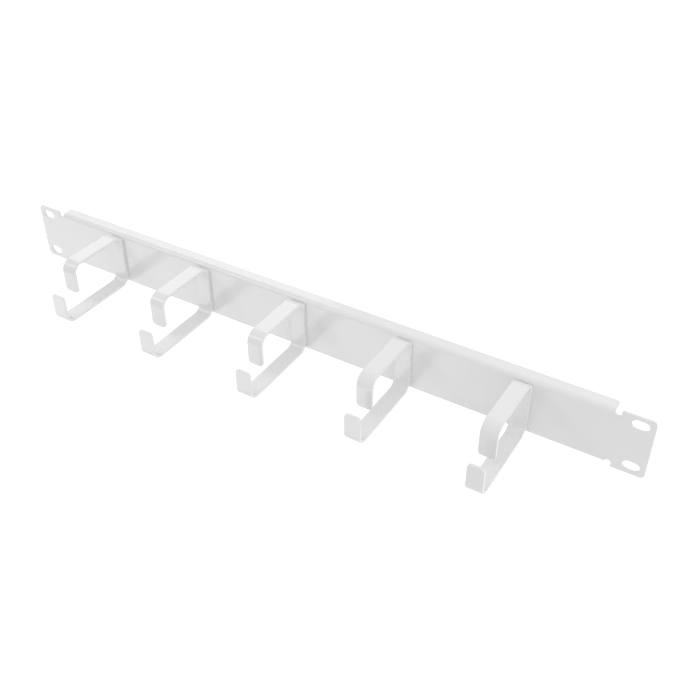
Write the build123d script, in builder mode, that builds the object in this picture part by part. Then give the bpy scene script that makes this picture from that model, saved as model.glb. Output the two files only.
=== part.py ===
from build123d import *
from math import isclose, sqrt
import os

# Horizontal cable manager for a 19-inch rack, one unit high, in millimetres.
# A folded steel panel carries five rings, each bent from one length of flat steel strip.
# +X is to the right seen from the front, +Y goes into the rack, +Z is up.
# The origin is the middle of the mounting plane, the rear face of the two ears.

# Rack: what the mounting rails ask of a panel one unit high
unit_height = 44.45
unit_clearance = 0.85
unit_hole_gap = 12.7

# Panel: one sheet, folded back along its top and bottom edges between the ears
sheet = 1.5
panel_width = 482.6
ear_length = 20.3
ear_corner_r = 3.0
body_inset = 1.1
flange_depth = 9.5
flange_corner_r = 2.0
panel_bend_inner_r = 1.5

# Bend reliefs: round-bottomed notches that part the folded body from the ears
relief_width = 4.0
relief_past_bend = 0.5
relief_corner_r = 0.8

# Rack slots: one at each corner of the panel
slot_to_end = 8.75
slot_length = 10.6
slot_width = 7.0

# Rings: C-shaped, with a long lower arm and a shorter upper arm whose lips pass each other
ring_count = 5
ring_pitch = 81.0
ring_height = 42.0
strip_width = 11.0
strip_thickness = 2.0
ring_bend_inner_r = 5.6
upper_reach = 50.5
mouth = 12.3
upper_lip = 22.7
lower_lip = 23.0
strip_end_r = 2.5
strip_edge_chamfer = 0.1

# Spot welds: shallow prints of the welding tip on the back of the panel, behind each ring's leg
welds_per_ring = 2
weld_pitch = 14.0
weld_print_d = 5.0
weld_print_depth = 0.15

# Seam welds: at both ends of each leg, in the wedge where the bend leaves the panel
seam_gap = 0.8

# Places that follow from the sizes above
ear_height = unit_height - unit_clearance
body_height = ear_height - 2 * body_inset
slot_pitch_x = panel_width - 2 * slot_to_end
slot_pitch_z = unit_height - unit_hole_gap
front_y = -sheet
rear_y = front_y + flange_depth
panel_bend_outer_r = panel_bend_inner_r + sheet
ear_inner_x = panel_width / 2 - ear_length
relief_x = ear_inner_x - relief_width / 2
relief_bottom_z = body_height / 2 - panel_bend_outer_r - relief_past_bend
relief_top_z = ear_height / 2 + relief_width
lower_reach = upper_reach + mouth + strip_thickness
ring_bend_outer_r = ring_bend_inner_r + strip_thickness
leg_end_z = ring_height / 2 - ring_bend_outer_r
seam_height = sqrt(ring_bend_outer_r**2 - (ring_bend_outer_r - seam_gap) ** 2)

os.makedirs("parts", exist_ok=True)

with BuildPart() as panel:
    # Folded body: the web, two bends and two flanges as one open channel section
    with BuildSketch(Plane.YZ):
        with BuildLine():
            FilletPolyline(
                (rear_y, -body_height / 2),
                (front_y, -body_height / 2),
                (front_y, body_height / 2),
                (rear_y, body_height / 2),
                radius=panel_bend_outer_r,
            )
            offset(amount=sheet, side=Side.RIGHT)
        make_face()
    extrude(amount=relief_x, both=True)

    # Ears: flat ends of the same sheet, a little taller than the folded body
    end_length = panel_width / 2 - relief_x
    with BuildSketch(Plane.XZ) as ears:
        with GridLocations(panel_width - end_length, 0, 2, 1):
            Rectangle(end_length, ear_height)
        outer_corners = ears.vertices().group_by(Axis.X)
        fillet(outer_corners[0] + outer_corners[-1], radius=ear_corner_r)
    extrude(amount=sheet)

    # Bend reliefs, cut right through the body and the ears
    with BuildSketch(Plane.XZ):
        with GridLocations(2 * relief_x, relief_bottom_z + relief_top_z, 2, 2):
            SlotOverall(relief_top_z - relief_bottom_z, relief_width, rotation=90)
    extrude(amount=flange_depth, both=True, mode=Mode.SUBTRACT)
    ear_corners = panel.edges().filter_by(Axis.Y).filter_by(
        lambda edge: isclose(abs(edge.center().X), ear_inner_x, abs_tol=0.01)
        and isclose(abs(edge.center().Z), ear_height / 2, abs_tol=0.01)
    )
    fillet(ear_corners, radius=relief_corner_r)
    flange_corners = panel.edges().filter_by(Axis.Z).group_by(Axis.Y)[-1]
    fillet(flange_corners, radius=flange_corner_r)

    # Rack slots, long across the panel so that it can be lined up with the rails
    with BuildSketch(Plane.XZ):
        with GridLocations(slot_pitch_x, slot_pitch_z, 2, 2):
            SlotOverall(slot_length, slot_width)
    extrude(amount=sheet, mode=Mode.SUBTRACT)

    # Weld prints on the rear face of the web
    with BuildSketch(Plane.XZ):
        with GridLocations(ring_pitch, weld_pitch, ring_count, welds_per_ring):
            Circle(weld_print_d / 2)
    extrude(amount=weld_print_depth, mode=Mode.SUBTRACT)

panel.part.label = "panel"
export_step(panel.part, "parts/panel.step")

# Rings, from left to right: each leg lies flat on the panel's front, where it is spot-welded
for number in range(1, ring_count + 1):
    ring_x = (number - (ring_count + 1) / 2) * ring_pitch
    with BuildPart() as ring:
        with BuildSketch(Plane.YZ.offset(ring_x)):
            with BuildLine():
                FilletPolyline(
                    (front_y - upper_reach, ring_height / 2 - upper_lip),
                    (front_y - upper_reach, ring_height / 2),
                    (front_y, ring_height / 2),
                    (front_y, -ring_height / 2),
                    (front_y - lower_reach, -ring_height / 2),
                    (front_y - lower_reach, -ring_height / 2 + lower_lip),
                    radius=ring_bend_outer_r,
                )
                offset(amount=strip_thickness, side=Side.RIGHT)
            make_face()
        extrude(amount=strip_width / 2, both=True)

        # Round the corners of both ends, then soften the strip's long edges
        end_corners = ring.edges().filter_by(Axis.Y).filter_by(
            lambda edge: edge.length < 1.01 * strip_thickness
        )
        fillet(end_corners, radius=strip_end_r)
        across = ring.edges().filter_by(Axis.X).filter_by(
            lambda edge: isclose(edge.length, strip_width, abs_tol=0.01)
        )
        through = ring.edges().filter_by(Axis.Y).filter_by(
            lambda edge: edge.length < 1.01 * strip_thickness
        )
        chamfer(ring.edges() - across - through, length=strip_edge_chamfer)

        # Seam welds, ground to a slope between the bend and the panel
        with BuildSketch(Plane.YZ.offset(ring_x)):
            with BuildLine():
                Polyline(
                    (front_y, leg_end_z),
                    (front_y, leg_end_z + seam_height + seam_gap),
                    (front_y - seam_gap, leg_end_z + seam_height),
                    (front_y - seam_gap, leg_end_z),
                    close=True,
                )
            make_face()
            mirror(about=Plane.XZ)
        extrude(amount=strip_width / 2 - strip_edge_chamfer, both=True)

    ring.part.label = f"ring_{number}"
    export_step(ring.part, f"parts/ring_{number}.step")
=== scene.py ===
import bpy
from math import radians
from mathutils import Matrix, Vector

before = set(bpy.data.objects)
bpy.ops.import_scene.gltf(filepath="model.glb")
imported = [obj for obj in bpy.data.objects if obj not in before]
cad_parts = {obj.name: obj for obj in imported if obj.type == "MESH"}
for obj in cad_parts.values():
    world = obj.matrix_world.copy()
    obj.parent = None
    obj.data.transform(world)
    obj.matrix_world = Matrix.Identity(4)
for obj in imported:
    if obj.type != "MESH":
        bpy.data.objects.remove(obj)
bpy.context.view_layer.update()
bpy.ops.object.select_all(action="DESELECT")


# Panel: one sheet of mild steel, punched with its four rack slots and four bend reliefs, then
# folded back along its top and bottom edges. It is sprayed with light grey polyester powder after
# the rings are welded on, and baked: the coat has a fine orange peel. Its colour is a little darker
# on edges and in inner corners, partly for the thinner coat on cut edges and partly as painted shade.

def link(tree, start, end):
    tree.links.new(start, end)


def orange_peel_group():
    """Height, gloss and tone of a baked powder coat, from a place on the part in metres."""
    grain_share = 0.35
    group = bpy.data.node_groups.new("orange_peel", "ShaderNodeTree")
    face = group.interface
    face.new_socket("Place", in_out="INPUT", socket_type="NodeSocketVector")
    face.new_socket("Wave Scale", in_out="INPUT", socket_type="NodeSocketFloat")
    face.new_socket("Grain Scale", in_out="INPUT", socket_type="NodeSocketFloat")
    face.new_socket("Cloud Scale", in_out="INPUT", socket_type="NodeSocketFloat")
    face.new_socket("Height", in_out="OUTPUT", socket_type="NodeSocketFloat")
    face.new_socket("Gloss Cloud", in_out="OUTPUT", socket_type="NodeSocketFloat")
    face.new_socket("Tone Cloud", in_out="OUTPUT", socket_type="NodeSocketFloat")
    nodes = group.nodes
    start = nodes.new("NodeGroupInput")
    end = nodes.new("NodeGroupOutput")

    # The peel: shallow cells with rounded tops, broken up by a finer grain
    wave = nodes.new("ShaderNodeTexVoronoi")
    wave.feature = "SMOOTH_F1"
    wave.inputs["Smoothness"].default_value = 1.0
    link(group, start.outputs["Place"], wave.inputs["Vector"])
    link(group, start.outputs["Wave Scale"], wave.inputs["Scale"])
    grain = nodes.new("ShaderNodeTexNoise")
    grain.inputs["Detail"].default_value = 3.0
    grain.inputs["Roughness"].default_value = 0.55
    link(group, start.outputs["Place"], grain.inputs["Vector"])
    link(group, start.outputs["Grain Scale"], grain.inputs["Scale"])
    low_grain = nodes.new("ShaderNodeMath")
    low_grain.operation = "MULTIPLY"
    low_grain.inputs[1].default_value = grain_share
    link(group, grain.outputs["Fac"], low_grain.inputs[0])
    peel = nodes.new("ShaderNodeMath")
    peel.operation = "SUBTRACT"
    link(group, low_grain.outputs[0], peel.inputs[0])
    link(group, wave.outputs["Distance"], peel.inputs[1])
    link(group, peel.outputs[0], end.inputs["Height"])

    # Broad clouds: a spray gun never lays powder down quite evenly
    cloud = nodes.new("ShaderNodeTexNoise")
    cloud.inputs["Detail"].default_value = 2.0
    link(group, start.outputs["Place"], cloud.inputs["Vector"])
    link(group, start.outputs["Cloud Scale"], cloud.inputs["Scale"])
    link(group, cloud.outputs["Fac"], end.inputs["Tone Cloud"])

    # Gloss follows the clouds and the grain in equal parts
    summed = nodes.new("ShaderNodeMath")
    summed.operation = "ADD"
    link(group, cloud.outputs["Fac"], summed.inputs[0])
    link(group, grain.outputs["Fac"], summed.inputs[1])
    halved = nodes.new("ShaderNodeMath")
    halved.operation = "MULTIPLY"
    halved.inputs[1].default_value = 0.5
    link(group, summed.outputs[0], halved.inputs[0])
    link(group, halved.outputs[0], end.inputs["Gloss Cloud"])
    return group


def coat_edge_group():
    """Where a powder coat runs over an edge or into an inner corner: a mask of it, which also places
    painted edge shade, and the coat's rounded normal.
    """
    group = bpy.data.node_groups.new("coat_edge", "ShaderNodeTree")
    face = group.interface
    face.new_socket("Coat Radius", in_out="INPUT", socket_type="NodeSocketFloat")
    face.new_socket("Edge", in_out="OUTPUT", socket_type="NodeSocketFloat")
    face.new_socket("Rounded Normal", in_out="OUTPUT", socket_type="NodeSocketVector")
    nodes = group.nodes
    start = nodes.new("NodeGroupInput")
    end = nodes.new("NodeGroupOutput")
    round_over = nodes.new("ShaderNodeBevel")
    round_over.samples = 8
    link(group, start.outputs["Coat Radius"], round_over.inputs["Radius"])
    link(group, round_over.outputs["Normal"], end.inputs["Rounded Normal"])

    # The two normals agree on a flat face, where the cosine between them is 1
    flat_cosine = 0.995
    full_edge_cosine = 0.80
    face_normal = nodes.new("ShaderNodeNewGeometry")
    agree = nodes.new("ShaderNodeVectorMath")
    agree.operation = "DOT_PRODUCT"
    link(group, round_over.outputs["Normal"], agree.inputs[0])
    link(group, face_normal.outputs["Normal"], agree.inputs[1])
    edge = nodes.new("ShaderNodeMapRange")
    edge.inputs["From Min"].default_value = flat_cosine
    edge.inputs["From Max"].default_value = full_edge_cosine
    link(group, agree.outputs["Value"], edge.inputs["Value"])
    link(group, edge.outputs["Result"], end.inputs["Edge"])
    return group


def powder_coat(name, colour, thin_coat_and_shade_colour, peel_depth, coat_radius, peel, coat_edge):
    """Semi-gloss powder coat, baked on steel, with the depth and radius in metres."""
    coat = bpy.data.materials.new(name)
    coat.use_nodes = True
    tree = coat.node_tree
    nodes = tree.nodes
    shader = nodes["Principled BSDF"]
    shader.inputs["IOR"].default_value = 1.6
    place = nodes.new("ShaderNodeTexCoord")
    skin = nodes.new("ShaderNodeGroup")
    skin.node_tree = peel
    skin.inputs["Wave Scale"].default_value = 480.0
    skin.inputs["Grain Scale"].default_value = 1900.0
    skin.inputs["Cloud Scale"].default_value = 22.0
    link(tree, place.outputs["Object"], skin.inputs["Place"])
    run_over = nodes.new("ShaderNodeGroup")
    run_over.node_tree = coat_edge
    run_over.inputs["Coat Radius"].default_value = coat_radius

    # Colour: a little darker and lighter in clouds, and darker over edges and inner corners: partly
    # the thinner coat on cut edges, partly painted shade
    cloud_swing = 0.015
    darker = [(1.0 - cloud_swing) * channel for channel in colour]
    lighter = [(1.0 + cloud_swing) * channel for channel in colour]
    clouds = nodes.new("ShaderNodeMix")
    clouds.data_type = "RGBA"
    clouds.inputs["A"].default_value = (*darker, 1.0)
    clouds.inputs["B"].default_value = (*lighter, 1.0)
    link(tree, skin.outputs["Tone Cloud"], clouds.inputs["Factor"])
    thinned_and_shaded = nodes.new("ShaderNodeMix")
    thinned_and_shaded.data_type = "RGBA"
    thinned_and_shaded.inputs["B"].default_value = (*thin_coat_and_shade_colour, 1.0)
    link(tree, run_over.outputs["Edge"], thinned_and_shaded.inputs["Factor"])
    link(tree, clouds.outputs["Result"], thinned_and_shaded.inputs["A"])
    link(tree, thinned_and_shaded.outputs["Result"], shader.inputs["Base Color"])

    # Gloss: semi-gloss, uneven in the same clouds
    glossiest_roughness = 0.14
    dullest_roughness = 0.20
    gloss = nodes.new("ShaderNodeMapRange")
    gloss.inputs["From Min"].default_value = 0.3
    gloss.inputs["From Max"].default_value = 0.7
    gloss.inputs["To Min"].default_value = glossiest_roughness
    gloss.inputs["To Max"].default_value = dullest_roughness
    link(tree, skin.outputs["Gloss Cloud"], gloss.inputs["Value"])
    link(tree, gloss.outputs["Result"], shader.inputs["Roughness"])

    # Surface: the peel stands a few hundredths of a millimetre proud
    bumps = nodes.new("ShaderNodeBump")
    bumps.inputs["Distance"].default_value = peel_depth
    link(tree, skin.outputs["Height"], bumps.inputs["Height"])
    link(tree, run_over.outputs["Rounded Normal"], bumps.inputs["Normal"])
    link(tree, bumps.outputs["Normal"], shader.inputs["Normal"])
    return coat


orange_peel = orange_peel_group()
coat_edge = coat_edge_group()
coat_grey = (0.772, 0.766, 0.769)
# Edge grey: partly the thinner coat on cut edges, partly painted shade along edges and in inner
# corners
edge_thin_coat_and_shade_grey = (0.745, 0.739, 0.742)
panel_coat = powder_coat(
    "panel_powder_coat",
    coat_grey,
    edge_thin_coat_and_shade_grey,
    peel_depth=0.000032,
    coat_radius=0.00025,
    peel=orange_peel,
    coat_edge=coat_edge,
)
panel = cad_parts["panel"]
for slot in panel.material_slots:
    slot.material = panel_coat


# Rings: five lengths of flat steel strip, each bent four times into an open C with lips that pass
# each other, and welded to the panel's front. They are coated together with the panel, and powder
# builds up a little thicker on the strip's rolled edges.

# The strip's edges and inner corners get the same painted edge shade as the panel's
ring_coat = powder_coat(
    "ring_powder_coat",
    coat_grey,
    edge_thin_coat_and_shade_grey,
    peel_depth=0.000036,
    coat_radius=0.0003,
    peel=orange_peel,
    coat_edge=coat_edge,
)
for number in range(1, 6):
    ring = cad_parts[f"ring_{number}"]
    for slot in ring.material_slots:
        slot.material = ring_coat


# Floor and backdrop: a wide white table far enough below that the part's shadow on it is soft.
# The camera and the coat's gloss see it near to plain white, and it is open from beneath, so that
# the underside of the part can be looked at.

table_size = 6.0
table_top_z = -0.62
bpy.ops.mesh.primitive_plane_add(size=table_size, location=(0.0, 0.0, table_top_z))
floor = bpy.context.object
floor.name = "floor"
table_white = bpy.data.materials.new("table_white")
table_white.use_nodes = True
table_tree = table_white.node_tree
table_nodes = table_tree.nodes
table_shader = table_nodes["Principled BSDF"]
table_shader.inputs["Base Color"].default_value = (0.85, 0.85, 0.85, 1.0)
table_shader.inputs["Roughness"].default_value = 0.8
table_shader.inputs["Specular IOR Level"].default_value = 0.1
white = table_nodes.new("ShaderNodeEmission")
white.inputs["Color"].default_value = (1.0, 1.0, 1.0, 1.0)
white.inputs["Strength"].default_value = 0.40
lit = table_nodes.new("ShaderNodeAddShader")
seen = table_nodes.new("ShaderNodeMixShader")
under = table_nodes.new("ShaderNodeMixShader")
clear = table_nodes.new("ShaderNodeBsdfTransparent")
rays = table_nodes.new("ShaderNodeLightPath")
facing = table_nodes.new("ShaderNodeNewGeometry")
either = table_nodes.new("ShaderNodeMath")
either.operation = "MAXIMUM"
link(table_tree, table_shader.outputs["BSDF"], lit.inputs[0])
link(table_tree, white.outputs["Emission"], lit.inputs[1])
link(table_tree, rays.outputs["Is Camera Ray"], either.inputs[0])
link(table_tree, rays.outputs["Is Glossy Ray"], either.inputs[1])
link(table_tree, either.outputs[0], seen.inputs["Fac"])
link(table_tree, table_shader.outputs["BSDF"], seen.inputs[1])
link(table_tree, lit.outputs["Shader"], seen.inputs[2])
link(table_tree, facing.outputs["Backfacing"], under.inputs["Fac"])
link(table_tree, seen.outputs["Shader"], under.inputs[1])
link(table_tree, clear.outputs["BSDF"], under.inputs[2])
link(table_tree, under.outputs["Shader"], table_nodes["Material Output"].inputs["Surface"])
floor.data.materials.append(table_white)


# Surroundings: an even white room. The camera sees it as plain white, and as a light it is a little
# dimmer, so that the coat keeps its grey.

room = bpy.data.worlds.new("white_room")
bpy.context.scene.world = room
room.use_nodes = True
room_tree = room.node_tree
room_nodes = room_tree.nodes
fill_light = room_nodes["Background"]
fill_light.inputs["Color"].default_value = (1.0, 1.0, 1.0, 1.0)
fill_light.inputs["Strength"].default_value = 0.765
plain_white = room_nodes.new("ShaderNodeBackground")
plain_white.inputs["Color"].default_value = (1.0, 1.0, 1.0, 1.0)
plain_white.inputs["Strength"].default_value = 1.0
room_rays = room_nodes.new("ShaderNodeLightPath")
shown = room_nodes.new("ShaderNodeMixShader")
link(room_tree, room_rays.outputs["Is Camera Ray"], shown.inputs["Fac"])
link(room_tree, fill_light.outputs["Background"], shown.inputs[1])
link(room_tree, plain_white.outputs["Background"], shown.inputs[2])
link(room_tree, shown.outputs["Shader"], room_nodes["World Output"].inputs["Surface"])


# Lamps: soft boxes round the part. The coat mirrors the low one towards the camera in the panel's
# front, where each ring leaves a dark band, and the two at the back on top of the arms. The tall
# one on the right stands before the panel and lights the sides of the strips.

def soft_box(name, place, aim, width, height, watts):
    """A rectangular area lamp at place that points at aim, all in metres."""
    lamp = bpy.data.lights.new(name, "AREA")
    lamp.shape = "RECTANGLE"
    lamp.size = width
    lamp.size_y = height
    lamp.energy = watts
    stand = bpy.data.objects.new(name, lamp)
    bpy.context.scene.collection.objects.link(stand)
    stand.location = place
    direction = Vector(aim) - Vector(place)
    stand.rotation_euler = direction.to_track_quat("-Z", "Y").to_euler()
    stand.visible_camera = False


middle = (0.0, 0.0, 0.0)
soft_box("key_box", (-0.65, -0.60, 0.65), middle, width=0.55, height=0.28, watts=1.02)
soft_box("low_box", (-0.47, -0.475, -0.42), (-0.35, 0.0, 0.0), width=0.76, height=0.24, watts=0.48)
soft_box("back_left_box", (-0.72, 0.64, 0.62), (-0.56, 0.0, 0.0), width=0.62, height=0.24, watts=0.67)
soft_box("back_right_box", (-0.10, 0.77, 0.73), (0.07, 0.0, 0.0), width=0.58, height=0.24, watts=0.27)
soft_box("top_right_box", (0.60, 0.0, 0.90), middle, width=0.50, height=0.50, watts=1.90)
soft_box("right_box", (1.04, -0.27, 0.02), (0.0, -0.27, 0.02), width=0.44, height=0.95, watts=2.20)


# Camera: in front of the part's right half and above it, at the photograph's viewing angle. Its
# small shift puts the part where it stands in the photograph's square frame.

view = bpy.data.cameras.new("camera")
view.sensor_width = 36.0
view.lens = 47.554
view.shift_x = 0.01143
view.shift_y = -0.02857
view.clip_start = 0.01
view.clip_end = 20.0
camera = bpy.data.objects.new("camera", view)
bpy.context.scene.collection.objects.link(camera)
camera.location = (0.29242, -0.41768, 0.37272)
camera.rotation_euler = (radians(53.26193), radians(0.29249), radians(31.58113))
bpy.context.scene.camera = camera
bpy.context.scene.view_settings.view_transform = "Standard"
